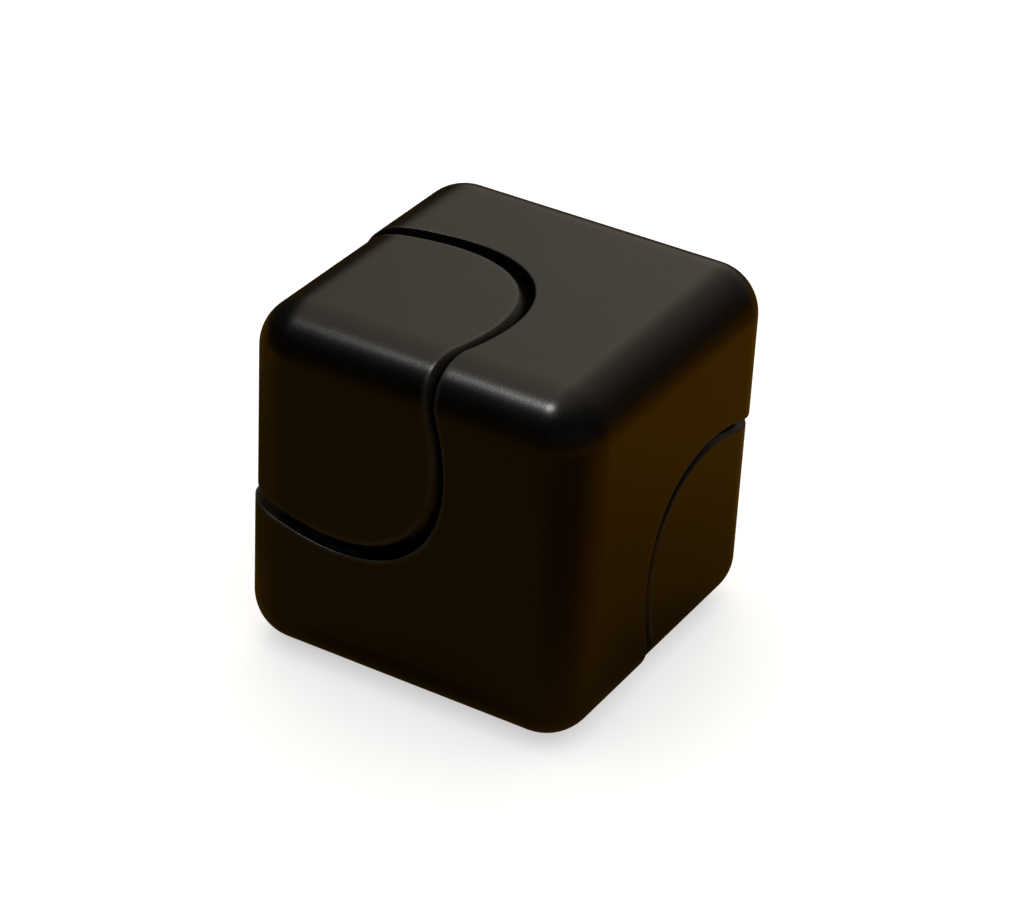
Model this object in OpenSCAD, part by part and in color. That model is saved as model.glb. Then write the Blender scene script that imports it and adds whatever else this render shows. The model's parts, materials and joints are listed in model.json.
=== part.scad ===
// Diagonal spinner cube: a rounded cube cut into a middle band and two corner caps.
// The caps are joined through a ball bearing, so they turn in the band about the
// cube's body diagonal. Millimetres, +Z up, origin at the centre of the cube's base.

/* [Cube] */
// Width of the closed cube
cube_w = 30; // [29.6:0.2:32]
// Radius of the cube's edges
edge_r = 4.1; // [3.5:0.1:4.5]
// How far the caps' faces lie below the band's, so that only the band touches the desk
cap_recess = 0.2; // [0.1:0.05:0.3]

/* [Caps and gap] */
// Radius of the round caps about the diagonal
cap_r = 12.2; // [12:0.1:12.8]
// Gap between a cap and the band's bore
cap_gap = 0.8; // [0.3:0.1:0.8]

/* [Bearing] */
// Bore of the bearing
bearing_bore_d = 8; // [7.8:0.1:8]
// Outer diameter of the bearing
bearing_d = 22; // [21.8:0.1:22]
// Width of the bearing
bearing_w = 7; // [6.8:0.1:7.2]
// Number of balls
ball_count = 7; // [6:1:7]
// Diameter of a ball
ball_d = 3.969; // [3.9:0.001:4]
// Clearance between a ball and its track
track_play = 0.045; // [0.03:0.005:0.06]

/* [Band's web] */
// Half the thickness of the web that holds the bearing
web_half = 6; // [5.6:0.1:6]
// Inner radius of the lip under the bearing
lip_r = 9.9; // [9.6:0.1:10.2]
// Thickness of the retaining ring
ring_t = 1; // [0.8:0.1:1]
// Depth of the retaining ring's groove
ring_groove_depth = 0.5; // [0.3:0.1:0.6]

/* [Core] */
// Gap between a hub and the band's web
hub_gap = 0.4; // [0.3:0.1:0.5]
// Radius of a hub's flange
flange_r = 10.3; // [10:0.1:10.4]
// Radius of a hub's spigot, on which the cover is centred
spigot_r = 7.7; // [7.6:0.1:7.8]
// Height of a hub's spigot over its flange
spigot_h = 2.5; // [2:0.1:2.6]
// Nominal diameter of the clamp screw
screw_d = 4; // [3.8:0.1:4]
// Length of the clamp screw under its head
screw_l = 25; // [24:0.5:25]
// Diameter of a cover's dowel pins
pin_d = 1.5; // [1.2:0.1:1.6]
// Distance of the dowel pins from the diagonal
pin_place_r = 9; // [8.9:0.1:9.1]

/* [Hidden] */

$fn = 96;
// Facets of the cube's corner rounding
round_fn = 32;
// Overlap that lets a cut run clear of a face
cut = 0.5;
// Overlap too small to show, where two faces would coincide
hair = 0.001;
// Slip clearance between pieces that turn together
slip = 0.03;

// The body diagonal, from the back bottom corner to the front top one
axis_tilt = acos(1 / sqrt(3));
axis_turn = 225;
cap_bore_r = cap_r + cap_gap;

// Bearing proportions, between the bore and the outside
inner_r = bearing_bore_d / 2;
outer_r = bearing_d / 2;
pitch_r = (inner_r + outer_r) / 2;
ball_r = ball_d / 2;
track_r = ball_r + track_play;
inner_land_r = pitch_r - 1.45;
outer_land_r = pitch_r + 1.5;
ring_chamfer = 0.3;
shield_seat_r = 9.8;
shield_seat_z = 2.6;
shield_in_r = inner_land_r + 0.25;
shield_t = 0.3;
cage_t = 0.4;
cage_half_w = 0.95;
pocket_r = ball_r + 0.065;
rivet_r = 0.3;
rivet_head_r = 0.55;
rivet_head_t = 0.25;

// Retaining ring for the band's bore
groove_w = ring_t + 0.1;
ring_out_r = outer_r + ring_groove_depth - 0.05;
ring_in_r = 9.75;
ring_slot = 26;
lug_r = 1.25;
lug_hole_r = 0.6;
lug_place_r = 9.5;
lug_turn = 18;

// Hubs, from the web outwards along the diagonal
hub_z = web_half + hub_gap;
spigot_z = hub_z + 1.5;
spigot_top_z = spigot_z + spigot_h;
seat_z = spigot_top_z - 1.1;
socket_z = seat_z - 1;
sleeve_flats = 6;
sleeve_end_z = socket_z - 0.1;
screw_r = screw_d / 2 - 0.02;
screw_hole_r = screw_d / 2 + 0.2;
washer_t = 0.9;
washer_r = 3.8;
washer_slot = 0.7;
counterbore_r = washer_r + 0.3;
head_r = 3.5;
head_h = 4;
key_flats = 3;
key_depth = 2;
head_z = seat_z + washer_t;
nut_flats = 7;
nut_h = 3.2;
nut_end_z = seat_z + nut_h;
boss_r = 5.9;
spacer_r = 5.8;
pin_depth = 3.2;
pin_end_gap = 0.2;

// Cavity steps in a cover, inside its rim: over the spigot, over the boss, over the screw
rim_z = hub_z;
cover_spigot_z = spigot_top_z + 0.2;
cover_boss_r = boss_r + 0.4;
cover_boss_z = nut_end_z + 0.3;
cover_screw_r = 4.6;
cover_screw_z = 15.6;

// Distance from a hexagon's centre to its corners, from its width across flats
function hex_r(flats) = flats / 2 / cos(30);

// Turns +Z to the body diagonal, through the cube's centre
module on_axis() {
    translate([0, 0, cube_w / 2]) rotate([0, axis_tilt, axis_turn]) children();
}

// The upper end of the core as drawn, the lower one turned over about a cross axis
module at_end(lower) {
    on_axis() rotate([0, lower ? 180 : 0, 0]) children();
}

// Three places about the axis, in line with the cap's three edges
module at_pins() {
    for (turn = [0:120:240]) rotate(turn) translate([pin_place_r, 0, 0]) children();
}

module at_balls(offset_turn) {
    for (i = [0:ball_count - 1])
        rotate(i * 360 / ball_count + offset_turn) translate([pitch_r, 0, 0]) children();
}

module disc(r, z0, z1) {
    translate([0, 0, z0]) cylinder(r = r, h = z1 - z0);
}

module tube(r_out, r_in, z0, z1) {
    difference() {
        disc(r_out, z0, z1);
        disc(r_in, z0 - cut, z1 + cut);
    }
}

// Cube with rounded edges and corners, centred; its faces lie exactly at size / 2
module rounded_cube(size, r) {
    core = size - 2 * r;
    translate([0, 0, cube_w / 2]) hull() {
        cube([size, core, core], center = true);
        cube([core, size, core], center = true);
        cube([core, core, size], center = true);
        for (x = [-1, 1], y = [-1, 1], z = [-1, 1])
            translate([x, y, z] * core / 2) sphere(r, $fn = round_fn);
    }
}

// Section of a bearing ring between two radii, with its outer corners broken
module ring_section(r0, r1, z) {
    polygon([[r0 + ring_chamfer, -z], [r1 - ring_chamfer, -z], [r1, -z + ring_chamfer],
             [r1, z - ring_chamfer], [r1 - ring_chamfer, z], [r0 + ring_chamfer, z],
             [r0, z - ring_chamfer], [r0, -z + ring_chamfer]]);
}

// Shape with two parallel flats, for the sleeve's ends and their sockets
module double_d(r, flats, z0, z1) {
    intersection() {
        disc(r, z0, z1);
        translate([-r - cut, -flats / 2, z0 - cut]) cube([2 * (r + cut), flats, z1 - z0 + 2 * cut]);
    }
}

// Band with its two cap bores, bearing seat, lip and ring groove
module spin_body() {
    color([0.10, 0.09, 0.08]) difference() {
        rounded_cube(cube_w, edge_r);
        on_axis() {
            disc(cap_bore_r, web_half, cube_w);
            disc(cap_bore_r, -cube_w, -web_half);
            disc(outer_r, -bearing_w / 2, web_half + cut);
            disc(lip_r, -web_half - cut, 0);
            disc(outer_r + ring_groove_depth, bearing_w / 2, bearing_w / 2 + groove_w);
        }
    }
}

module bearing_outer_ring() {
    color([0.72, 0.73, 0.75]) on_axis() rotate_extrude() difference() {
        ring_section(outer_land_r, outer_r, bearing_w / 2);
        translate([pitch_r, 0]) circle(track_r);
        for (side = [-1, 1]) translate([0, side * (shield_seat_z + bearing_w / 2) / 2])
            square([2 * shield_seat_r, bearing_w / 2 - shield_seat_z + hair], center = true);
    }
}

module bearing_inner_ring() {
    color([0.72, 0.73, 0.75]) on_axis() rotate_extrude() difference() {
        ring_section(inner_r, inner_land_r, bearing_w / 2);
        translate([pitch_r, 0]) circle(track_r);
    }
}

// Pressed sheet shield with a stepped rim, seated in the outer ring
module shield(lower) {
    rim_w = 0.5;
    step = 0.3;
    color([0.62, 0.63, 0.65]) at_end(lower) rotate_extrude()
        polygon([[shield_in_r, shield_seat_z + step],
                 [shield_seat_r - rim_w - shield_t, shield_seat_z + step],
                 [shield_seat_r - rim_w, shield_seat_z],
                 [shield_seat_r, shield_seat_z],
                 [shield_seat_r, shield_seat_z + shield_t],
                 [shield_seat_r - rim_w + shield_t / 2, shield_seat_z + shield_t],
                 [shield_seat_r - rim_w - shield_t / 2, shield_seat_z + step + shield_t],
                 [shield_in_r, shield_seat_z + step + shield_t]]);
}

module upper_shield() { shield(false); }

module lower_shield() { shield(true); }

// Internal retaining ring with a slot and two lugs with plier holes
module retaining_ring() {
    color([0.20, 0.20, 0.22]) on_axis() translate([0, 0, bearing_w / 2]) linear_extrude(ring_t)
        difference() {
            union() {
                difference() {
                    circle(ring_out_r);
                    circle(ring_in_r);
                    polygon([[0, 0], [2 * outer_r, -2 * outer_r * tan(ring_slot / 2)],
                             [2 * outer_r, 2 * outer_r * tan(ring_slot / 2)]]);
                }
                for (side = [-1, 1]) rotate(side * lug_turn) translate([lug_place_r, 0]) circle(lug_r);
            }
            for (side = [-1, 1]) rotate(side * lug_turn) translate([lug_place_r, 0]) circle(lug_hole_r);
        }
}

module bearing_balls() {
    color([0.85, 0.86, 0.88]) on_axis() at_balls(0) sphere(ball_r);
}

// Half of the pressed ribbon cage: flats between the balls and a cup over each ball
module cage_half(lower) {
    half_pitch = 180 / ball_count;
    color([0.66, 0.64, 0.60]) on_axis() mirror([0, 0, lower ? 1 : 0]) difference() {
        intersection() {
            union() {
                disc(pitch_r + cage_half_w, 0, cage_t);
                at_balls(0) sphere(pocket_r + cage_t);
            }
            tube(pitch_r + cage_half_w, pitch_r - cage_half_w, 0, pocket_r + 2 * cage_t);
        }
        at_balls(0) sphere(pocket_r);
        at_balls(half_pitch) disc(rivet_r, -cut, cage_t + cut);
    }
}

module cage_upper_half() { cage_half(false); }

module cage_lower_half() { cage_half(true); }

module cage_rivets() {
    color([0.60, 0.58, 0.52]) on_axis() at_balls(180 / ball_count) {
        disc(rivet_r, -cage_t - rivet_head_t, cage_t + rivet_head_t);
        disc(rivet_head_r, cage_t, cage_t + rivet_head_t);
        disc(rivet_head_r, -cage_t - rivet_head_t, -cage_t);
    }
}

// Hollow axle through the inner ring; the flats at its ends hold both hubs in line
module axle_sleeve() {
    color([0.70, 0.71, 0.73]) on_axis() difference() {
        union() {
            disc(inner_r - slip, -hub_z, hub_z);
            double_d(inner_r - slip, sleeve_flats, -sleeve_end_z, sleeve_end_z);
        }
        disc(screw_hole_r, -hub_z - 2 * spigot_h, hub_z + 2 * spigot_h);
    }
}

module spacer(lower) {
    color([0.78, 0.62, 0.30]) at_end(lower) tube(spacer_r, inner_r, bearing_w / 2, hub_z);
}

module upper_spacer() { spacer(false); }

module lower_spacer() { spacer(true); }

// Flange and spigot with the sleeve's socket, screw hole and dowel holes
module hub_blank() {
    difference() {
        union() {
            disc(flange_r, hub_z, spigot_z);
            disc(spigot_r, spigot_z, spigot_top_z);
            children();
        }
        double_d(inner_r + slip, sleeve_flats + 2 * slip, hub_z - cut, socket_z);
        disc(screw_hole_r, hub_z - cut, nut_end_z + cut);
        at_pins() disc(pin_d / 2, hub_z - cut, spigot_z + cut);
    }
}

module upper_hub() {
    color([0.60, 0.61, 0.62]) at_end(false) difference() {
        hub_blank();
        disc(counterbore_r, seat_z, spigot_top_z + cut);
    }
}

// The lower hub has a taller boss with a hexagon pocket that keeps the nut from turning
module lower_hub() {
    color([0.60, 0.61, 0.62]) at_end(true) difference() {
        hub_blank() disc(boss_r, spigot_z, nut_end_z);
        translate([0, 0, seat_z]) cylinder(r = hex_r(nut_flats + 2 * slip), h = nut_h + cut, $fn = 6);
    }
}

// Cap screw from the upper hub to the nut in the lower one
module clamp_screw() {
    color([0.16, 0.16, 0.17]) at_end(false) difference() {
        union() {
            disc(head_r, head_z, head_z + head_h);
            disc(screw_r, head_z - screw_l, head_z + cut);
        }
        translate([0, 0, head_z + head_h - key_depth])
            cylinder(r = hex_r(key_flats), h = key_depth + cut, $fn = 6);
    }
}

// Split spring washer under the screw's head
module lock_washer() {
    color([0.55, 0.56, 0.58]) at_end(false) difference() {
        tube(washer_r, screw_d / 2 + 2 * slip, seat_z, head_z);
        translate([0, -washer_slot / 2, seat_z - cut]) cube([washer_r + cut, washer_slot, washer_t + 2 * cut]);
    }
}

module clamp_nut() {
    color([0.70, 0.68, 0.62]) at_end(true) difference() {
        translate([0, 0, seat_z]) cylinder(r = hex_r(nut_flats), h = nut_h, $fn = 6);
        disc(screw_d / 2, seat_z - cut, nut_end_z + cut);
    }
}

// Corner of the cube inside the cap's radius, hollowed for the hub and the screw
module cover(lower) {
    color([0.12, 0.11, 0.10]) difference() {
        intersection() {
            rounded_cube(cube_w - 2 * cap_recess, edge_r - cap_recess);
            at_end(lower) disc(cap_r, rim_z, cube_w);
        }
        at_end(lower) {
            disc(flange_r + slip, rim_z - cut, spigot_z);
            disc(spigot_r + slip, rim_z, cover_spigot_z);
            disc(cover_boss_r, rim_z, cover_boss_z);
            disc(cover_screw_r, rim_z, cover_screw_z);
            at_pins() disc(pin_d / 2, rim_z, spigot_z + pin_depth);
        }
    }
}

module upper_cover() { cover(false); }

module lower_cover() { cover(true); }

// Dowels pressed through the hub's flange into the cover's rim
module cover_pins(lower) {
    color([0.75, 0.76, 0.78]) at_end(lower) at_pins()
        disc(pin_d / 2, hub_z + pin_end_gap, spigot_z + pin_depth - pin_end_gap);
}

module upper_cover_pins() { cover_pins(false); }

module lower_cover_pins() { cover_pins(true); }

spin_body();
bearing_outer_ring();
upper_shield();
lower_shield();
retaining_ring();
bearing_balls();
cage_upper_half();
cage_lower_half();
cage_rivets();
bearing_inner_ring();
axle_sleeve();
upper_spacer();
lower_spacer();
upper_hub();
lower_hub();
clamp_screw();
lock_washer();
clamp_nut();
upper_cover();
lower_cover();
upper_cover_pins();
lower_cover_pins();
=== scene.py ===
"""Diagonal spinner cube: the looks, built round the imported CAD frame. Lengths are in metres."""

import json
import math

import bpy
import numpy as np
from mathutils import Matrix, Vector


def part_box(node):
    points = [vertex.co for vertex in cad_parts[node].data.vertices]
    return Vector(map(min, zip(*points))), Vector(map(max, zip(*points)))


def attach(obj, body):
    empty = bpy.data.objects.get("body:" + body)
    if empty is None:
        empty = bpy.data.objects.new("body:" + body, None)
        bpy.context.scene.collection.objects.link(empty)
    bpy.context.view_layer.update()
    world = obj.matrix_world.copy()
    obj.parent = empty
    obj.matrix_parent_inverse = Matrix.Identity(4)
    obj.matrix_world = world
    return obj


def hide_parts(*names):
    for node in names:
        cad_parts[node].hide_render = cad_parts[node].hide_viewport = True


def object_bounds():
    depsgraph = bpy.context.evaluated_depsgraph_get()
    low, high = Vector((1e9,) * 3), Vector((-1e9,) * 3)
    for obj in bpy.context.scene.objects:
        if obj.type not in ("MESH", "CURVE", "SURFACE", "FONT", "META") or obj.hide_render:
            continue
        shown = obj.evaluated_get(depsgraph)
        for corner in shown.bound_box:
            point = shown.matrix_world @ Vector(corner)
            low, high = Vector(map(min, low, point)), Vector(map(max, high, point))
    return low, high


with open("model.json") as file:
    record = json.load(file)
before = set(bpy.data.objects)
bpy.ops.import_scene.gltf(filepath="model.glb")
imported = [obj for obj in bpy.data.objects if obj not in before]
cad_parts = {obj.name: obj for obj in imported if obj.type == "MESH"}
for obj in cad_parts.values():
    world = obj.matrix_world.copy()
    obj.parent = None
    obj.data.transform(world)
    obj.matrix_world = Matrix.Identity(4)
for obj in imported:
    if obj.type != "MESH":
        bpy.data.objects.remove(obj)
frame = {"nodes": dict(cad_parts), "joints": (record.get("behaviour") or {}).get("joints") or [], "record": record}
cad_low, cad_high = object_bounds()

MM = 0.001
# Smaller than any difference that matters, in metres or as a share
TINY = 1e-6
# More than a rounding error, and less than any real difference between two turns
ROUNDING = 1e-9

# ---------------------------------------------------------------- sizes, from the frame

SPIN = next(j for j in frame["joints"] if j["name"] == "cap_spin")
CENTRE = np.array(SPIN["pos_m"])
AXIS = np.array(SPIN["axis"]) / np.linalg.norm(SPIN["axis"])
# Across the axis: CROSS_U points down the cube's front left edge, CROSS_V completes the frame
CROSS_U = AXIS * AXIS[2] - np.array([0, 0, 1])
CROSS_U /= np.linalg.norm(CROSS_U)
CROSS_V = np.cross(AXIS, CROSS_U)
TO_CUBE = np.column_stack([CROSS_U, CROSS_V, AXIS])


def node_points(node):
    """A CAD node's vertices, in metres, in the shared frame."""
    mesh = frame["nodes"][node].data
    co = np.empty(len(mesh.vertices) * 3)
    mesh.vertices.foreach_get("co", co)
    return co.reshape(-1, 3)


def about_axis(node):
    """How far a CAD node's vertices are from the axis, and their heights along it."""
    local = (node_points(node) - CENTRE) @ TO_CUBE
    return np.hypot(local[:, 0], local[:, 1]), local[:, 2]


def edge_radius(node, half):
    """Radius of a rounded cube's edges, from how far its flat top reaches."""
    points = node_points(node)
    top = points[points[:, 2] > points[:, 2].max() - TINY]
    return half - np.abs(top[:, :2]).max()


HALF = (cad_high.x - cad_low.x) / 2
EDGE_R = edge_radius("spin_body", HALF)
COVER_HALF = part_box("upper_cover")[1].z - CENTRE[2]
COVER_EDGE_R = edge_radius("upper_cover", COVER_HALF)
CAP_R = about_axis("upper_cover")[0].max()
RIM_Z = about_axis("upper_cover")[1].min()
# The web in the middle of the band, and the bore above and below it
WEB_HALF = 6.0 * MM
BAND_R, BAND_Z = about_axis("spin_body")
BORE_R = BAND_R[np.abs(BAND_Z) > WEB_HALF + 0.5 * MM].min()
# The lip under the bearing, and the retaining ring's play across and along its groove
LIP_R = 9.9 * MM
RING_PLAY = 0.05 * MM
RING_SHAKE = 0.1 * MM
# Slip clearance between pieces that turn together
SLIP = 0.03 * MM
# A cap's hollow: radius and floor of each step, from the rim inwards, and the middle of its end
FLANGE_R = about_axis("upper_hub")[0].max() + SLIP
HOLLOW = [(FLANGE_R, 7.9 * MM), (7.73 * MM, 10.6 * MM), (6.3 * MM, 12.8 * MM), (4.6 * MM, 15.6 * MM)]
HOLLOW_END_R = 0.4 * MM
# Radii of the rounded rims at the gap, and of the small arcs in turned profiles
BAND_SOFT = 0.09 * MM
CAP_SOFT = 0.28 * MM
TURNED_ARC = 0.15 * MM
# How far the turned profiles run on, up the band's bore and up a cap's wall
BORE_LEAD = 0.9 * MM
WALL_LEAD = 0.3 * MM

# Points round the axis, and steps over a rim, the band's outside, a cap's wall and a small arc
TURNS = 360
RIM_STEPS = 6
BAND_STEPS = 84
WALL_STEPS = 14
ARC_STEPS = 3

# The clamp screw and its nut
THREAD_PITCH = 0.7 * MM
THREAD_DEPTH = 0.38 * MM
THREAD_ROWS = 10
# Shares of a pitch from a crest's middle to the root, and over a flank
THREAD_FOOT = 0.44
THREAD_FLANK = 0.31
SCREW_TURNS = 60
NUT_TURNS = 120
KEY_FLATS = 3 * MM
KEY_DEPTH = 2 * MM
KEY_POINT = 0.5 * MM


# ---------------------------------------------------------------- rounded cube, as formulas

def cube_distance(p, half, r):
    """Signed distance of centred points from a cube with rounded edges."""
    q = np.abs(p) - (half - r)
    outside = np.linalg.norm(np.maximum(q, 0), axis=-1)
    return outside + np.minimum(q.max(axis=-1), 0) - r


def cube_normal(p, half, r):
    """Outward direction of that cube's surface at points on it."""
    q = np.maximum(np.abs(p) - (half - r), 0) * np.sign(p)
    return q / np.linalg.norm(q, axis=-1, keepdims=True)


def to_surface(start, direction, half, r, halvings=48):
    """Where rays from inside the cube leave it, found by halving the stretch that holds the place."""
    low = np.zeros(start.shape[:-1])
    high = np.full(start.shape[:-1], 4 * half)
    for _ in range(halvings):
        middle = (low + high) / 2
        inside = cube_distance(start + direction * middle[..., None], half, r) < 0
        low = np.where(inside, middle, low)
        high = np.where(inside, high, middle)
    return start + direction * high[..., None]


def even_turns(count):
    """Turns that divide a full one evenly."""
    return np.arange(count) * 2 * np.pi / count


def spoke(turn):
    """Unit vectors across the axis, in the cube's own directions."""
    return np.cos(turn)[..., None] * CROSS_U + np.sin(turn)[..., None] * CROSS_V


def over_disc(radius, turn, half, r):
    """Points of the cube's upper corner over places on a disc across the axis."""
    start = spoke(turn) * radius[..., None]
    return to_surface(start, np.broadcast_to(AXIS, start.shape), half, r)


def swing(first, second, steps):
    """Unit vectors that turn evenly from one set of directions to another, ends included."""
    cosine = np.clip((first * second).sum(-1), -1, 1)
    angle = np.arccos(cosine)[:, None]
    t = np.linspace(0, 1, steps + 1)[None, :]
    scale = np.sin(angle)
    a = (np.sin((1 - t) * angle) / scale)[..., None]
    b = (np.sin(t * angle) / scale)[..., None]
    return a * first[:, None] + b * second[:, None]


# ---------------------------------------------------------------- mesh building

def new_piece(name, points, faces, edge_mask=None, sharp_deg=35):
    """A smooth-shaded mesh object, with creases where faces meet at more than sharp_deg."""
    mesh = bpy.data.meshes.new(name)
    mesh.from_pydata([tuple(p) for p in points], [], faces)
    mesh.polygons.foreach_set("use_smooth", [True] * len(mesh.polygons))
    if edge_mask is not None:
        rubbed = mesh.attributes.new("rubbed", "FLOAT", "POINT")
        rubbed.data.foreach_set("value", np.asarray(edge_mask, np.float32))
    mesh.validate()
    mesh.set_sharp_from_angle(angle=math.radians(sharp_deg))
    piece = bpy.data.objects.new(name, mesh)
    bpy.context.scene.collection.objects.link(piece)
    return piece


def ring_faces(turns, length, closed):
    """Quads of a grid that is closed round the axis and, if closed, along its profile too."""
    i = np.arange(turns)[:, None]
    j = np.arange(length if closed else length - 1)[None, :]
    i2, j2 = (i + 1) % turns, (j + 1) % length
    quads = np.stack([i * length + j, i2 * length + j, i2 * length + j2, i * length + j2], -1)
    return quads.reshape(-1, 4)


def profile_ring(steps):
    """(radius, height) steps turned about the axis, as a grid of points about the centre."""
    radius, height = np.array(steps).T
    return spoke(even_turns(TURNS))[:, None] * radius[None, :, None] + AXIS * height[None, :, None]


def rounded(steps):
    """A profile's steps with every corner between its ends replaced by a small arc."""
    done = [steps[0]]
    for before, here, after in zip(steps, steps[1:], steps[2:]):
        here, to_a, to_b = Vector(here), Vector(before) - Vector(here), Vector(after) - Vector(here)
        # An arc takes less than half of the shorter side, so that two never meet
        reach = min(TURNED_ARC, to_a.length * 0.45, to_b.length * 0.45)
        a, b = here + to_a.normalized() * reach, here + to_b.normalized() * reach
        for k in range(ARC_STEPS + 1):
            t = k / ARC_STEPS
            done.append(tuple(a * (1 - t) ** 2 + here * 2 * t * (1 - t) + b * t * t))
    return done + [steps[-1]]


# ---------------------------------------------------------------- band

def band_rim(side):
    """The band's rounded rim about a cap's bore: the arcs' centres, and the arcs, bore side first."""
    across = spoke(even_turns(TURNS))
    start = across * (BORE_R + BAND_SOFT)
    centre = to_surface(start, np.broadcast_to(AXIS * side, start.shape),
                        HALF - BAND_SOFT, EDGE_R - BAND_SOFT)
    outward = cube_normal(centre, HALF - BAND_SOFT, EDGE_R - BAND_SOFT)
    return centre, centre[:, None] + BAND_SOFT * swing(-across, outward, RIM_STEPS)


def band_outside(first, last, count, finer=6):
    """Even steps over the band's outer surface between its two rims, in planes through the axis.

    The surface is followed in finer steps, and points are picked at even lengths along them."""
    across = spoke(even_turns(TURNS))
    rise = [np.arctan2(p @ AXIS, (p * across).sum(-1)) for p in (first, last)]
    fine = np.linspace(0, 1, finer * count)[None, :]
    angle = rise[0][:, None] * (1 - fine) + rise[1][:, None] * fine
    ray = np.cos(angle)[..., None] * across[:, None] + np.sin(angle)[..., None] * AXIS
    centre = to_surface(np.zeros_like(ray), ray, HALF - BAND_SOFT, EDGE_R - BAND_SOFT)
    points = centre + BAND_SOFT * cube_normal(centre, HALF - BAND_SOFT, EDGE_R - BAND_SOFT)
    run = np.cumsum(np.linalg.norm(np.diff(points, axis=1), axis=-1), axis=1)
    run = np.concatenate([np.zeros((TURNS, 1)), run], axis=1)
    even = np.linspace(0, 1, count)
    picked = np.empty((TURNS, count, 3))
    for k in range(TURNS):
        for c in range(3):
            picked[k, :, c] = np.interp(even * run[k, -1], run[k], points[k, :, c])
    return picked[:, 1:-1]


def build_band():
    """The one-piece band: outer skin, soft rims, two bores, and the web with the bearing's seat."""
    bearing_r, bearing_z = about_axis("bearing_outer_ring")
    ring_r, ring_z = about_axis("retaining_ring")
    seat_r, seat_z = bearing_r.max(), bearing_z.min()
    groove_r = ring_r.max() + RING_PLAY
    groove_z = (ring_z.min(), ring_z.max() + RING_SHAKE)
    upper_centre, upper = band_rim(1)
    lower_centre, lower = band_rim(-1)
    outside = band_outside(upper_centre, lower_centre, BAND_STEPS)
    inside = profile_ring(rounded([
        (BORE_R, -WEB_HALF - BORE_LEAD), (BORE_R, -WEB_HALF), (LIP_R, -WEB_HALF), (LIP_R, seat_z),
        (seat_r, seat_z), (seat_r, groove_z[0]), (groove_r, groove_z[0]), (groove_r, groove_z[1]),
        (seat_r, groove_z[1]), (seat_r, WEB_HALF), (BORE_R, WEB_HALF), (BORE_R, WEB_HALF + BORE_LEAD)]))
    grid = np.concatenate([upper, outside, lower[:, ::-1], inside], axis=1)
    rims = upper.shape[1]
    rubbed = np.zeros(grid.shape[:2])
    rubbed[:, :rims] = 1
    rubbed[:, rims + outside.shape[1]:][:, :rims] = 1
    outward = ring_faces(TURNS, grid.shape[1], True)[:, ::-1]
    return new_piece("band", grid.reshape(-1, 3) + CENTRE, outward.tolist(), rubbed.ravel())


# ---------------------------------------------------------------- caps

def corner_patches(side_steps):
    """Quads over a disc, as three rhombs about its middle. Returns places and quads, rim included.

    A place is (share of the radius, turn); places on the rim come at even turns."""
    sixth = math.radians(60)
    alpha = sixth * np.arange(side_steps + 1) / side_steps
    chord = np.sin(alpha) / (np.sin(alpha) + np.sin(sixth - alpha))
    index, places, quads = {}, [], []
    for sector in range(3):
        borders = (math.radians(120 * sector), math.radians(120 * sector + 120))
        one, two = (np.array([math.cos(turn), math.sin(turn)]) for turn in borders)
        grid = {}
        for i, a in enumerate(chord):
            for j, b in enumerate(chord):
                p = a * one + b * two
                # Rhombs share their borders, so a point is looked up by its place
                key = (round(p[0], 9) + 0.0, round(p[1], 9) + 0.0)
                if key not in index:
                    index[key] = len(places)
                    turn = math.atan2(p[1], p[0]) % (2 * math.pi)
                    wedge = (turn + ROUNDING) % sixth - sixth / 2
                    reach = np.hypot(*p) * math.cos(wedge) / math.cos(sixth / 2)
                    places.append((reach, turn))
                grid[i, j] = index[key]
        for i in range(side_steps):
            for j in range(side_steps):
                quads.append([grid[i, j], grid[i + 1, j], grid[i + 1, j + 1], grid[i, j + 1]])
    return np.array(places), quads


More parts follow.
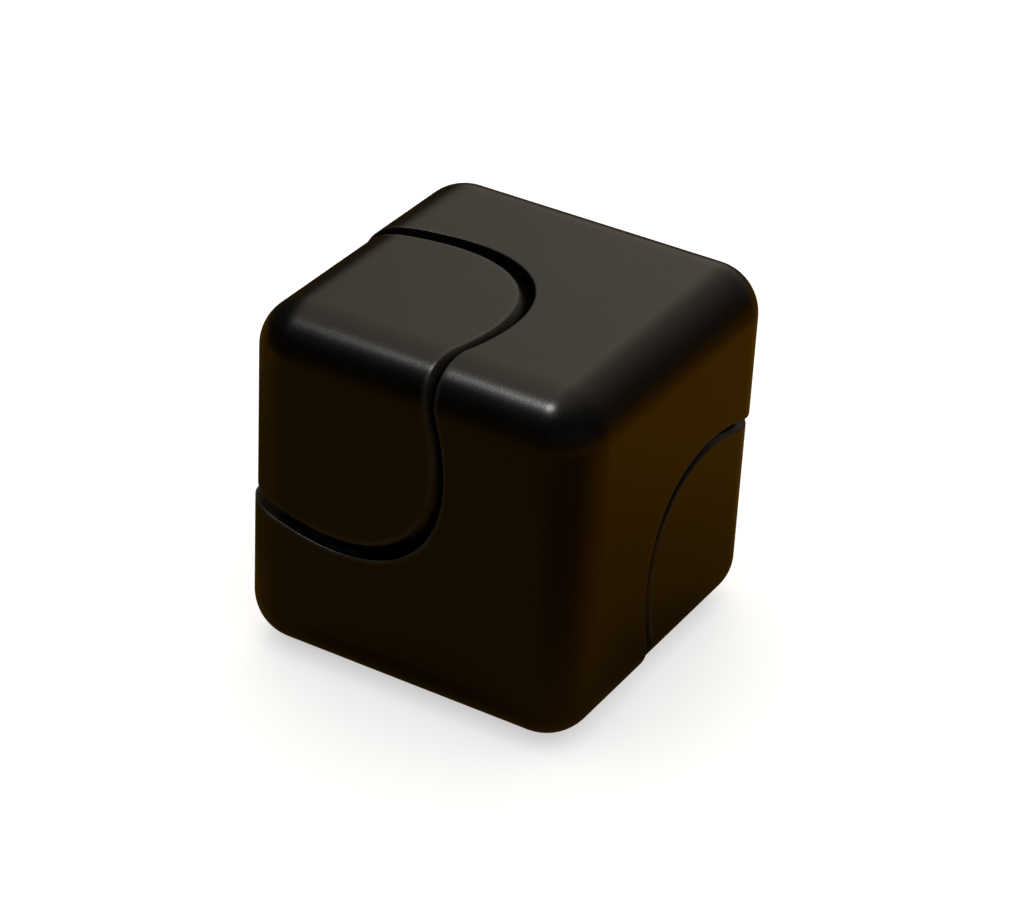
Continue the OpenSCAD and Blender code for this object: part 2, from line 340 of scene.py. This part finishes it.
def build_cap(name, lower):
    """A corner cap: the cube's corner, a soft edge, the round wall, and a stepped hollow inside."""
    half, r = COVER_HALF - CAP_SOFT, COVER_EDGE_R - CAP_SOFT
    places, quads = corner_patches(TURNS // 6)
    centre = over_disc(places[:, 0] * (CAP_R - CAP_SOFT), places[:, 1], half, r)
    skin = centre + CAP_SOFT * cube_normal(centre, half, r)
    on_rim = np.flatnonzero(places[:, 0] > 1 - TINY)
    on_rim = on_rim[np.argsort((places[on_rim, 1] + ROUNDING) % (2 * np.pi))]
    across = spoke(even_turns(TURNS))
    rim_centre = centre[on_rim]
    arc = rim_centre[:, None] + CAP_SOFT * swing(cube_normal(rim_centre, half, r), across, RIM_STEPS)
    wall_top = (arc[:, -1] @ AXIS)[:, None]
    wall_end = RIM_Z + WALL_LEAD
    share = np.linspace(0, 1, WALL_STEPS)[None, 1:]
    height = wall_top + (wall_end - wall_top) * share
    wall = across[:, None] * CAP_R + AXIS * height[..., None]
    steps = [(CAP_R, wall_end), (CAP_R, RIM_Z), (FLANGE_R, RIM_Z)]
    for (radius, floor), (after, _) in zip(HOLLOW, HOLLOW[1:] + [(HOLLOW_END_R, 0)]):
        steps += [(radius, floor), (after, floor)]
    inside = profile_ring(rounded(steps))[:, 1:]
    ring = np.concatenate([arc[:, 1:], wall, inside], axis=1)
    length = ring.shape[1]
    base = len(skin)
    faces = list(quads)
    for k in range(TURNS):
        after = (k + 1) % TURNS
        faces.append([on_rim[k], base + k * length, base + after * length, on_rim[after]])
    faces += [[base + v for v in quad[::-1]] for quad in ring_faces(TURNS, length, False).tolist()]
    tip = base + TURNS * length
    for k in range(TURNS):
        last, after = (base + (turn % TURNS) * length + length - 1 for turn in (k, k + 1))
        faces.append([last, tip, after])
    points = np.concatenate([skin, ring.reshape(-1, 3), [AXIS * HOLLOW[-1][1]]])
    rubbed = np.zeros(len(points))
    rubbed[on_rim] = 1
    rubbed[base:tip].reshape(TURNS, length)[:, :arc.shape[1] - 1] = 1
    if lower:
        # Half a turn about CROSS_V brings the upper cap to the lower corner
        along_v = (points @ CROSS_V)[:, None] * CROSS_V
        points = 2 * along_v - points
    return new_piece(name, points + CENTRE, faces, rubbed)


# ---------------------------------------------------------------- clamp screw and nut

def grid_about_axis(rows, turns):
    """Points from (radius, height) rows; a radius is one number, or an array with one for each turn."""
    radius = np.stack([np.broadcast_to(r, turns.shape) for r, _ in rows], axis=1)
    height = np.array([z for _, z in rows])
    return spoke(turns)[:, None] * radius[..., None] + AXIS * height[None, :, None] + CENTRE


def hexagon(flats, turns):
    """Distance from a hexagon's centre to its side at each turn, with corners at 0, 60, 120 ..."""
    sixth = math.radians(60)
    return flats / 2 / np.cos(turns % sixth - sixth / 2)


def thread(turns, height):
    """Share of the thread's depth at a height on a helix, from 0 at the root to 1 at the crest."""
    place = np.abs((height / THREAD_PITCH - turns / (2 * np.pi)) % 1 - 0.5)
    return np.clip((THREAD_FOOT - place) / THREAD_FLANK, 0, 1)


def build_screw():
    """Socket head cap screw with a cut thread, a pointed tip and a chamfered, rounded head."""
    radius, height = about_axis("clamp_screw")
    tip, top, head_r = height.min(), height.max(), radius.max()
    under = height[radius > head_r - 0.01 * MM].min()
    shank_r = radius[height < tip + 0.01 * MM].max()
    root_r = shank_r - THREAD_DEPTH
    middle = (under + top) / 2
    turns = even_turns(SCREW_TURNS)
    thread_end = under - 0.5 * MM
    neck = under - 0.4 * MM
    tip_cut = 0.7 * MM
    fillet = 0.15 * MM
    face_r = root_r + 0.2 * MM
    edge = 0.3 * MM
    land_r = 2.4 * MM
    rows = []
    for z in np.arange(tip, thread_end, THREAD_PITCH / THREAD_ROWS):
        point = shank_r - tip_cut + (z - tip)
        rows.append((np.minimum(root_r + THREAD_DEPTH * thread(turns, z), point), z))
    rows += [(root_r, neck), (root_r, under - fillet), (root_r + fillet, under)]
    rows += rounded([(face_r, under), (head_r, under), (head_r, middle)])
    rows += rounded([(head_r, middle), (head_r, top - edge), (head_r - edge, top), (land_r, top)])[1:]
    key = hexagon(KEY_FLATS, turns)
    key_edge = 0.12 * MM
    rows += [(key + key_edge, top), (key, top - key_edge), (key, top - KEY_DEPTH)]
    grid = grid_about_axis(rows, turns)
    faces = ring_faces(len(turns), len(rows), False).tolist()
    points = np.concatenate([grid.reshape(-1, 3), [CENTRE + AXIS * tip],
                             [CENTRE + AXIS * (top - KEY_DEPTH - KEY_POINT)]])
    start = len(turns) * len(rows)
    end = start + 1
    for k in range(len(turns)):
        here, after = k * len(rows), (k + 1) % len(turns) * len(rows)
        faces.append([start, after, here])
        faces.append([end, here + len(rows) - 1, after + len(rows) - 1])
    return new_piece("clamp_screw_threaded", points, faces)


def build_nut():
    """Hexagon nut, chamfered at both ends, with a thread that meets the screw's."""
    radius, height = about_axis("clamp_nut")
    low, high = height.min(), height.max()
    turns = even_turns(NUT_TURNS)
    side = hexagon(2 * radius.max() * math.cos(math.radians(30)), turns)
    bore_r = radius.min()
    mouth_r = bore_r + 0.35 * MM
    # The chamfer starts at a round face a little smaller than the flats, and rises at 30 degrees
    face_r = side.min() * 0.94
    cuts = np.linspace(0, 0.5 * MM, 7)
    chamfer = [np.minimum(side, face_r + cut * math.sqrt(3)) for cut in cuts]
    rows = [(edge, low + cut) for edge, cut in zip(chamfer, cuts)]
    rows += [(edge, high - cut) for edge, cut in zip(chamfer[::-1], cuts[::-1])]
    for z in np.arange(high, low, -THREAD_PITCH / THREAD_ROWS):
        mouth = mouth_r - min(z - low, high - z)
        cut_r = bore_r - THREAD_DEPTH + THREAD_DEPTH * thread(turns, z)
        rows.append((np.maximum(cut_r, mouth), z))
    rows.append((mouth_r, low))
    grid = grid_about_axis(rows, turns)
    return new_piece("clamp_nut_threaded", grid.reshape(-1, 3),
                     ring_faces(len(turns), len(rows), True).tolist())


# ---------------------------------------------------------------- materials

# The anodised black where its dye is deepest and palest, and where a rim is rubbed
DYE_DEEP = (0.0018, 0.0015, 0.0012, 1)
DYE_PALE = (0.0028, 0.0024, 0.0020, 1)
DYE_RUBBED = (0.030, 0.027, 0.023, 1)
# Noise scales, per metre: blasted grain, fingerprints, smudges, turned lines and stains on steel
GRAIN = 8000
PRINTS = 420
SMUDGES = 90
TURNED_LINES = 9000
STAINS = 260
# Length and widths of a hairline scratch
HAIRLINE = (12 * MM, 0.18 * MM, 0.18 * MM)
# Width of the broken edges on the inner parts
EDGE_BREAK = 0.06 * MM


def new_material(name):
    """A material with nodes, and its nodes, links and shader."""
    material = bpy.data.materials.new(name)
    material.use_nodes = True
    nodes = material.node_tree.nodes
    return material, nodes, material.node_tree.links, nodes["Principled BSDF"]


def node(nodes, kind, inputs=None, **settings):
    """A new node with its input values and settings."""
    made = nodes.new(kind)
    for key, value in settings.items():
        setattr(made, key, value)
    for key, value in (inputs or {}).items():
        made.inputs[key].default_value = value
    return made


def noise(nodes, links, where, scale, detail=3.0, rough=0.55):
    """Noise fixed to the object, from 0 to 1."""
    made = node(nodes, "ShaderNodeTexNoise", {"Scale": scale, "Detail": detail, "Roughness": rough})
    links.new(where.outputs["Object"], made.inputs["Vector"])
    return made.outputs["Fac"]


def math_node(nodes, links, operation, one, two):
    """An operation on two values, each a number or another node's output."""
    made = node(nodes, "ShaderNodeMath", operation=operation)
    for socket, value in zip(made.inputs, (one, two)):
        if isinstance(value, float):
            socket.default_value = value
        else:
            links.new(value, socket)
    return made.outputs["Value"]


def spread(nodes, links, source, low, high, start=0.3, end=0.7):
    """Maps a source that runs from start to end onto low to high, and holds it beyond."""
    made = node(nodes, "ShaderNodeMapRange",
                {"From Min": start, "From Max": end, "To Min": low, "To Max": high})
    links.new(source, made.inputs["Value"])
    return made.outputs["Result"]


def hairlines(nodes, links, where, turns):
    """Sparse fine scratches in one direction, given by turns in degrees, as 0 to 1."""
    along = node(nodes, "ShaderNodeMapping", vector_type="TEXTURE")
    along.inputs["Rotation"].default_value = [math.radians(turn) for turn in turns]
    along.inputs["Scale"].default_value = HAIRLINE
    links.new(where.outputs["Object"], along.inputs["Vector"])
    lines = node(nodes, "ShaderNodeTexNoise", {"Scale": 1.0, "Detail": 1.0})
    links.new(along.outputs["Vector"], lines.inputs["Vector"])
    # Only the noise's highest peaks show
    return spread(nodes, links, lines.outputs["Fac"], 0.0, 1.0, 0.68, 0.76)


def satin_black(name):
    """Bead-blasted, black anodised aluminium: fine grain, handling marks, hairlines, rubbed rims."""
    material, nodes, links, shader = new_material(name)
    where = node(nodes, "ShaderNodeTexCoord")
    shader.inputs["IOR"].default_value = 1.5
    shader.inputs["Metallic"].default_value = 0.0
    grain = noise(nodes, links, where, GRAIN, 2.0)
    smudge = noise(nodes, links, where, SMUDGES, 4.0, 0.6)
    prints = noise(nodes, links, where, PRINTS, 5.0, 0.65)
    scratches = math_node(nodes, links, "MAXIMUM", hairlines(nodes, links, where, (15, 25, 40)),
                          hairlines(nodes, links, where, (-20, 30, 115)))
    rubbed = node(nodes, "ShaderNodeAttribute", attribute_name="rubbed")
    worn = math_node(nodes, links, "MULTIPLY", rubbed.outputs["Fac"],
                     spread(nodes, links, prints, 0.25, 1.0, 0.35, 0.65))
    dye = node(nodes, "ShaderNodeMix", data_type="RGBA")
    dye.inputs["A"].default_value = DYE_DEEP
    dye.inputs["B"].default_value = DYE_PALE
    links.new(spread(nodes, links, smudge, 0.0, 1.0), dye.inputs["Factor"])
    tint = node(nodes, "ShaderNodeMix", data_type="RGBA")
    tint.inputs["B"].default_value = DYE_RUBBED
    links.new(worn, tint.inputs["Factor"])
    links.new(dye.outputs["Result"], tint.inputs["A"])
    links.new(tint.outputs["Result"], shader.inputs["Base Color"])
    rough = math_node(nodes, links, "ADD", spread(nodes, links, smudge, 0.235, 0.28),
                      spread(nodes, links, prints, -0.012, 0.012))
    rough = math_node(nodes, links, "ADD", rough, math_node(nodes, links, "MULTIPLY", scratches, 0.09))
    rough = math_node(nodes, links, "ADD", rough, math_node(nodes, links, "MULTIPLY", worn, 0.12))
    links.new(rough, shader.inputs["Roughness"])
    relief = math_node(nodes, links, "SUBTRACT", grain, math_node(nodes, links, "MULTIPLY", scratches, 0.8))
    bump = node(nodes, "ShaderNodeBump", {"Strength": 0.14, "Distance": 0.02 * MM})
    links.new(relief, bump.inputs["Height"])
    links.new(bump.outputs["Normal"], shader.inputs["Normal"])
    return material


def lathe_place(nodes, links, where):
    """(distance from the cube's diagonal, height along it) as a vector, for marks left by turning."""
    local = node(nodes, "ShaderNodeMapping", vector_type="TEXTURE")
    local.inputs["Location"].default_value = CENTRE
    local.inputs["Rotation"].default_value = Vector(AXIS).to_track_quat("Z", "Y").to_euler()
    links.new(where.outputs["Object"], local.inputs["Vector"])
    split = node(nodes, "ShaderNodeSeparateXYZ")
    links.new(local.outputs["Vector"], split.inputs["Vector"])
    across = node(nodes, "ShaderNodeCombineXYZ")
    links.new(split.outputs["X"], across.inputs["X"])
    links.new(split.outputs["Y"], across.inputs["Y"])
    radius = node(nodes, "ShaderNodeVectorMath", operation="LENGTH")
    links.new(across.outputs["Vector"], radius.inputs[0])
    place = node(nodes, "ShaderNodeCombineXYZ")
    links.new(radius.outputs["Value"], place.inputs["X"])
    links.new(split.outputs["Z"], place.inputs["Y"])
    return place.outputs["Vector"]


def metal(name, colour, rough, turned=True):
    """Machined metal with fine turned lines, or pressed and ground metal with an even grain."""
    material, nodes, links, shader = new_material(name)
    where = node(nodes, "ShaderNodeTexCoord")
    shader.inputs["Metallic"].default_value = 1.0
    lines = node(nodes, "ShaderNodeTexNoise", {"Scale": TURNED_LINES, "Detail": 2.0})
    if turned:
        links.new(lathe_place(nodes, links, where), lines.inputs["Vector"])
    else:
        links.new(where.outputs["Object"], lines.inputs["Vector"])
    stain = noise(nodes, links, where, STAINS, 4.0, 0.6)
    tint = node(nodes, "ShaderNodeMix", data_type="RGBA")
    tint.inputs["A"].default_value = (*[c * 0.80 for c in colour], 1)
    tint.inputs["B"].default_value = (*colour, 1)
    links.new(spread(nodes, links, stain, 0.0, 1.0), tint.inputs["Factor"])
    links.new(tint.outputs["Result"], shader.inputs["Base Color"])
    level = math_node(nodes, links, "ADD",
                      spread(nodes, links, lines.outputs["Fac"], 0.8 * rough, 1.1 * rough),
                      spread(nodes, links, stain, -0.1 * rough, 0.15 * rough))
    links.new(level, shader.inputs["Roughness"])
    bump = node(nodes, "ShaderNodeBump", {"Strength": 0.2, "Distance": 0.01 * MM})
    links.new(lines.outputs["Fac"], bump.inputs["Height"])
    links.new(bump.outputs["Normal"], shader.inputs["Normal"])
    return material


# The record's metal slots: colour, roughness, and whether it is turned on a lathe
LOOKS = {
    "bearing_steel": ((0.56, 0.57, 0.58), 0.22, True),
    "ball_steel": ((0.72, 0.73, 0.74), 0.08, False),
    "cage_steel": ((0.45, 0.43, 0.39), 0.38, False),
    "shield_steel": ((0.50, 0.50, 0.51), 0.30, True),
    "spring_steel": ((0.07, 0.07, 0.075), 0.42, False),
    "machined_steel": ((0.48, 0.48, 0.49), 0.28, True),
    "black_steel": ((0.035, 0.035, 0.04), 0.40, True),
    "spacer_brass": ((0.70, 0.48, 0.18), 0.26, True),
    "hub_aluminium": ((0.62, 0.63, 0.64), 0.32, True),
}
SLOTS = {part["node"]: part["material_slot"] for part in frame["record"]["subparts"]}
made_looks = {}


def put_look(piece, slot):
    """Gives a piece the material of its slot in the record."""
    if slot not in made_looks:
        made_looks[slot] = metal(slot, *LOOKS[slot])
    piece.data.materials.clear()
    piece.data.materials.append(made_looks[slot])


def break_edges(piece):
    """Smooth shading and small bevels on a CAD node, as tumbled or machined metal has."""
    piece.data.polygons.foreach_set("use_smooth", [True] * len(piece.data.polygons))
    if "custom_normal" in piece.data.attributes:
        piece.data.attributes.remove(piece.data.attributes["custom_normal"])
    piece.data.set_sharp_from_angle(angle=math.radians(30))
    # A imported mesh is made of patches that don't share edges, so they are joined for the bevel
    weld = piece.modifiers.new("joined_patches", "WELD")
    weld.merge_threshold = TINY
    flat = piece.modifiers.new("flat_faces", "DECIMATE")
    flat.decimate_type = "DISSOLVE"
    flat.angle_limit = math.radians(0.1)
    bevel = piece.modifiers.new("broken_edges", "BEVEL")
    bevel.width = EDGE_BREAK
    bevel.segments = 2
    bevel.limit_method = "ANGLE"
    bevel.angle_limit = math.radians(40)
    bevel.harden_normals = True


# ---------------------------------------------------------------- assembly

band = build_band()
band.data.materials.append(satin_black("band_black"))
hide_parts("spin_body")
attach(band, "band")

cap_look = satin_black("cap_black")
for cap_name, cad_node in (("upper_cap", "upper_cover"), ("lower_cap", "lower_cover")):
    cap = build_cap(cap_name, cad_node == "lower_cover")
    cap.data.materials.append(cap_look)
    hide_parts(cad_node)
    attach(cap, "caps")

for piece, cad_node in ((build_screw(), "clamp_screw"), (build_nut(), "clamp_nut")):
    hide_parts(cad_node)
    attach(piece, "caps")
    put_look(piece, SLOTS[cad_node])

for cad_node, piece in frame["nodes"].items():
    if SLOTS[cad_node] in LOOKS:
        put_look(piece, SLOTS[cad_node])
        break_edges(piece)


# ---------------------------------------------------------------- floor, light and camera

STAGE_REACH = 6.0
# The floor's two tones and its own glow
FLOOR_DIM = (0.88, 0.88, 0.875, 1)
FLOOR_PALE = (0.91, 0.91, 0.905, 1)
FLOOR_GLOW = 0.55
# Tones of what the black surface mirrors: the sky, and a painted table reflection on the left and on the right
WARM_WHITE = (1.0, 0.87, 0.71)
TABLE_BROWN = (1.0, 0.50, 0.03)
TABLE_RUST = (1.0, 0.41, 0.015)
# The painted table reflection's level on the cube's left and on its right, and where the right's is reached
TABLE_LEFT = 0.145
TABLE_RIGHT = 0.24
TABLE_RIGHT_X = 35 * MM
TABLE_DROP = 0.3 * MM
# Painted shadows of the cube and one painted bright patch on the table reflection: place, level in its middle,
# where its edge starts and ends
PAINTED_SHADOWS_AND_GLOWS = [((1.45 * HALF, 0.8 * HALF, 0), 0.62, 2 * MM, 26 * MM),
          ((3 * HALF, -3 * HALF, 0), 0.4, 18 * MM, 45 * MM),
          ((-3.4 * HALF, 4.8 * HALF, 0), 0.12, 30 * MM, 62 * MM),
          ((-2.4 * HALF, 0.2 * HALF, 0), 0.35, 10 * MM, 32 * MM),
          ((-5.4 * HALF, -4 * HALF, 0), 2.2, 8 * MM, 45 * MM),
          ((0, 0, 0), 0.3, 16 * MM, 25 * MM)]
# The soft window overhead: (direction along X or Y, level) stops, and its level as a whole
WINDOW_X = [(-0.64, 0.04), (-0.52, 0.62), (-0.36, 1.12), (-0.26, 1.0),
            (-0.12, 0.60), (0.25, 0.31), (0.6, 0.09), (1.0, 0.05)]
WINDOW_Y = [(-0.8, 0.02), (-0.5, 0.12), (-0.15, 0.6), (0.1, 1.0)]
WINDOW_LEVEL = 0.76
FILL_LEVEL = 0.06
HORIZON_LEVEL = 0.05
BACKDROP = (0.98, 0.98, 0.98, 1)
# The wide light on the floor, and the small lamp: distance, size and radiance
WASH = {"distance": 1.4, "size": 5.0, "radiance": 0.62}
LAMP = {"distance": 0.6, "size": 0.105, "radiance": 29.0}
LAMP_FROM = (-0.27, -0.32, 0.908)


def flat_sheet(name, z, material):
    """A wide square stage sheet about the origin, facing up."""
    mesh = bpy.data.meshes.new(name)
    corners = [(x * STAGE_REACH, y * STAGE_REACH, z) for x, y in ((-1, -1), (1, -1), (1, 1), (-1, 1))]
    mesh.from_pydata(corners, [], [(0, 1, 2, 3)])
    sheet = bpy.data.objects.new(name, mesh)
    bpy.context.scene.collection.objects.link(sheet)
    sheet.data.materials.append(material)
    return sheet


def build_floor():
    """Plain pale floor. The object mirrors the warm painted table reflection below instead of it."""
    material, nodes, links, shader = new_material("floor_pale")
    where = node(nodes, "ShaderNodeTexCoord")
    tint = node(nodes, "ShaderNodeMix", data_type="RGBA")
    tint.inputs["A"].default_value = FLOOR_DIM
    tint.inputs["B"].default_value = FLOOR_PALE
    links.new(noise(nodes, links, where, 4.0), tint.inputs["Factor"])
    links.new(tint.outputs["Result"], shader.inputs["Base Color"])
    shader.inputs["Roughness"].default_value = 0.8
    shader.inputs["Specular IOR Level"].default_value = 0.2
    shader.inputs["Emission Color"].default_value = (1, 1, 1, 1)
    shader.inputs["Emission Strength"].default_value = FLOOR_GLOW
    floor = flat_sheet("floor", 0.0, material)
    floor.visible_glossy = False
    floor.visible_diffuse = False


def build_painted_table_reflection():
    """A dim brown glowing sheet that only reflections see, just under the floor: a painted table reflection, with
    painted shadows of the cube.
    """
    material, nodes, links, shader = new_material("painted_table_reflection")
    nodes.remove(shader)
    glow = node(nodes, "ShaderNodeEmission")
    where = node(nodes, "ShaderNodeTexCoord")
    split = node(nodes, "ShaderNodeSeparateXYZ")
    links.new(where.outputs["Object"], split.inputs["Vector"])
    level = spread(nodes, links, split.outputs["X"], TABLE_LEFT, TABLE_RIGHT, 0.0, TABLE_RIGHT_X)
    # Painted shade: it fades towards the camera, and behind the cube, most of all on its left
    in_front = spread(nodes, links, split.outputs["Y"], 0.2, 1.0, -220 * MM, -60 * MM)
    level = math_node(nodes, links, "MULTIPLY", level, in_front)
    behind = math_node(nodes, links, "MAXIMUM",
                       spread(nodes, links, split.outputs["Y"], 1.0, 0.25, 60 * MM, 120 * MM),
                       spread(nodes, links, split.outputs["X"], 0.0, 0.6, -40 * MM, 0.0))
    level = math_node(nodes, links, "MULTIPLY", level, behind)
    # Each place scales the glow: painted shadows of the cube, and one painted bright patch
    for place, low, near, far in PAINTED_SHADOWS_AND_GLOWS:
        reach = node(nodes, "ShaderNodeVectorMath", operation="DISTANCE")
        reach.inputs[1].default_value = place
        links.new(where.outputs["Object"], reach.inputs[0])
        shade = node(nodes, "ShaderNodeMapRange", {"From Min": near, "From Max": far, "To Min": low},
                     interpolation_type="SMOOTHSTEP")
        links.new(reach.outputs["Value"], shade.inputs["Value"])
        level = math_node(nodes, links, "MULTIPLY", level, shade.outputs["Result"])
    links.new(level, glow.inputs["Strength"])
    hue = node(nodes, "ShaderNodeMix", data_type="RGBA")
    hue.inputs["A"].default_value = (*TABLE_BROWN, 1)
    hue.inputs["B"].default_value = (*TABLE_RUST, 1)
    links.new(spread(nodes, links, split.outputs["X"], 0.0, 1.0, 0.0, TABLE_RIGHT_X), hue.inputs["Factor"])
    links.new(hue.outputs["Result"], glow.inputs["Color"])
    links.new(glow.outputs["Emission"], nodes["Material Output"].inputs["Surface"])
    sheet = flat_sheet("painted_table_reflection", -TABLE_DROP, material)
    sheet.visible_camera = False
    sheet.visible_diffuse = False
    sheet.visible_shadow = False


def ramp_of(nodes, links, source, stops):
    """A grey ramp over a source that runs from -1 to 1, from (place, level) stops."""
    ramp = node(nodes, "ShaderNodeValToRGB")
    links.new(spread(nodes, links, source, 0.0, 1.0, -1.0, 1.0), ramp.inputs["Fac"])
    elements = ramp.color_ramp.elements
    while len(elements) < len(stops):
        elements.new(0.5)
    for element, (place, level) in zip(elements, stops):
        element.position = (place + 1) / 2
        element.color = (level, level, level, 1)
    return ramp.outputs["Color"]


def build_world():
    """A soft window of light behind the cube on its left, a faint fill on the right, dark in front."""
    world = bpy.data.worlds.new("studio")
    bpy.context.scene.world = world
    world.use_nodes = True
    nodes, links = world.node_tree.nodes, world.node_tree.links
    where = node(nodes, "ShaderNodeTexCoord")
    split = node(nodes, "ShaderNodeSeparateXYZ")
    links.new(where.outputs["Generated"], split.inputs["Vector"])
    x, y, z = (split.outputs[c] for c in "XYZ")
    window = math_node(nodes, links, "MULTIPLY", ramp_of(nodes, links, x, WINDOW_X),
                       ramp_of(nodes, links, y, WINDOW_Y))
    window = math_node(nodes, links, "MULTIPLY", window, WINDOW_LEVEL)
    # It is brighter overhead than low down
    window = math_node(nodes, links, "MULTIPLY", window, spread(nodes, links, z, 0.75, 1.25, 0.3, 0.85))
    fill_x = spread(nodes, links, x, 0.0, 1.0, -0.1, 0.25)
    fill_y = spread(nodes, links, y, 1.0, 0.0, -0.25, 0.2)
    fill_z = spread(nodes, links, z, 1.0, 0.0, 0.35, 0.65)
    fill = math_node(nodes, links, "MULTIPLY", fill_x, fill_y)
    fill = math_node(nodes, links, "MULTIPLY", fill, fill_z)
    fill = math_node(nodes, links, "MULTIPLY", fill, FILL_LEVEL)
    level = math_node(nodes, links, "ADD", window, fill)
    above = node(nodes, "ShaderNodeVectorMath", operation="SCALE")
    above.inputs[0].default_value = WARM_WHITE
    links.new(level, above.inputs["Scale"])
    mixed = node(nodes, "ShaderNodeMix", data_type="RGBA")
    mixed.inputs["A"].default_value = (*[HORIZON_LEVEL * c for c in TABLE_BROWN], 1)
    links.new(spread(nodes, links, z, 0.0, 1.0, -0.05, 0.2), mixed.inputs["Factor"])
    links.new(above.outputs["Vector"], mixed.inputs["B"])
    path = node(nodes, "ShaderNodeLightPath")
    seen = node(nodes, "ShaderNodeMix", data_type="RGBA")
    seen.inputs["B"].default_value = BACKDROP
    links.new(path.outputs["Is Camera Ray"], seen.inputs["Factor"])
    links.new(mixed.outputs["Result"], seen.inputs["A"])
    links.new(seen.outputs["Result"], nodes["Background"].inputs["Color"])
    nodes["Background"].inputs["Strength"].default_value = 1.0


def aim(obj, target, roll=0.0):
    """Points an object's -Z at a target, with +Y up, and rolls it about its own view."""
    look = (Vector(target) - obj.location).to_track_quat("-Z", "Y")
    obj.rotation_mode = "QUATERNION"
    obj.rotation_quaternion = look @ Matrix.Rotation(roll, 3, "Z").to_quaternion()


def area_light(name, direction, distance, size, radiance, shape):
    """A soft light of an even radiance, that far from the cube's centre."""
    data = bpy.data.lights.new(name, "AREA")
    data.shape = shape
    data.size = size
    area = size * size * (math.pi / 4 if shape == "DISK" else 1)
    data.energy = radiance * math.pi * area
    light = bpy.data.objects.new(name, data)
    bpy.context.scene.collection.objects.link(light)
    light.location = Vector(CENTRE) + Vector(direction).normalized() * distance
    aim(light, Vector(CENTRE))
    light.visible_camera = False
    return light


def build_lights():
    """One wide soft light for the floor, and a small bright lamp for the streak on the top edge."""
    wash = area_light("wash", (0, 0, 1), shape="SQUARE", **WASH)
    wash.visible_glossy = False
    lamp = area_light("lamp", LAMP_FROM, shape="DISK", **LAMP)
    lamp.visible_diffuse = False


CAMERA_AZIMUTH = math.radians(29.7)
CAMERA_ELEVATION = math.radians(31.3)
CAMERA_ROLL = math.radians(3.0)
# Its distance in cube widths, its lens and sensor in their usual millimetres, and where it aims
CAMERA_WIDTHS = 9.0
LENS = 122.5
SENSOR = 36
AIM_RIGHT = 0.54 * MM
AIM_UP = -0.295 * MM


def build_camera():
    """The photograph's viewing angle, with a long lens."""
    back = Vector((math.sin(CAMERA_AZIMUTH) * math.cos(CAMERA_ELEVATION),
                   -math.cos(CAMERA_AZIMUTH) * math.cos(CAMERA_ELEVATION),
                   math.sin(CAMERA_ELEVATION)))
    camera = bpy.data.objects.new("camera", bpy.data.cameras.new("camera"))
    bpy.context.scene.collection.objects.link(camera)
    camera.data.sensor_width = SENSOR
    camera.data.lens = LENS
    camera.location = Vector(CENTRE) + back * 2 * HALF * CAMERA_WIDTHS
    aim(camera, Vector(CENTRE), CAMERA_ROLL)
    offset = camera.rotation_quaternion @ Vector((AIM_RIGHT, AIM_UP, 0))
    aim(camera, Vector(CENTRE) + offset, CAMERA_ROLL)
    camera.data.clip_start = 10 * MM
    bpy.context.scene.camera = camera


build_floor()
build_painted_table_reflection()
build_world()
build_lights()
build_camera()
bpy.context.scene.view_settings.view_transform = "Standard"
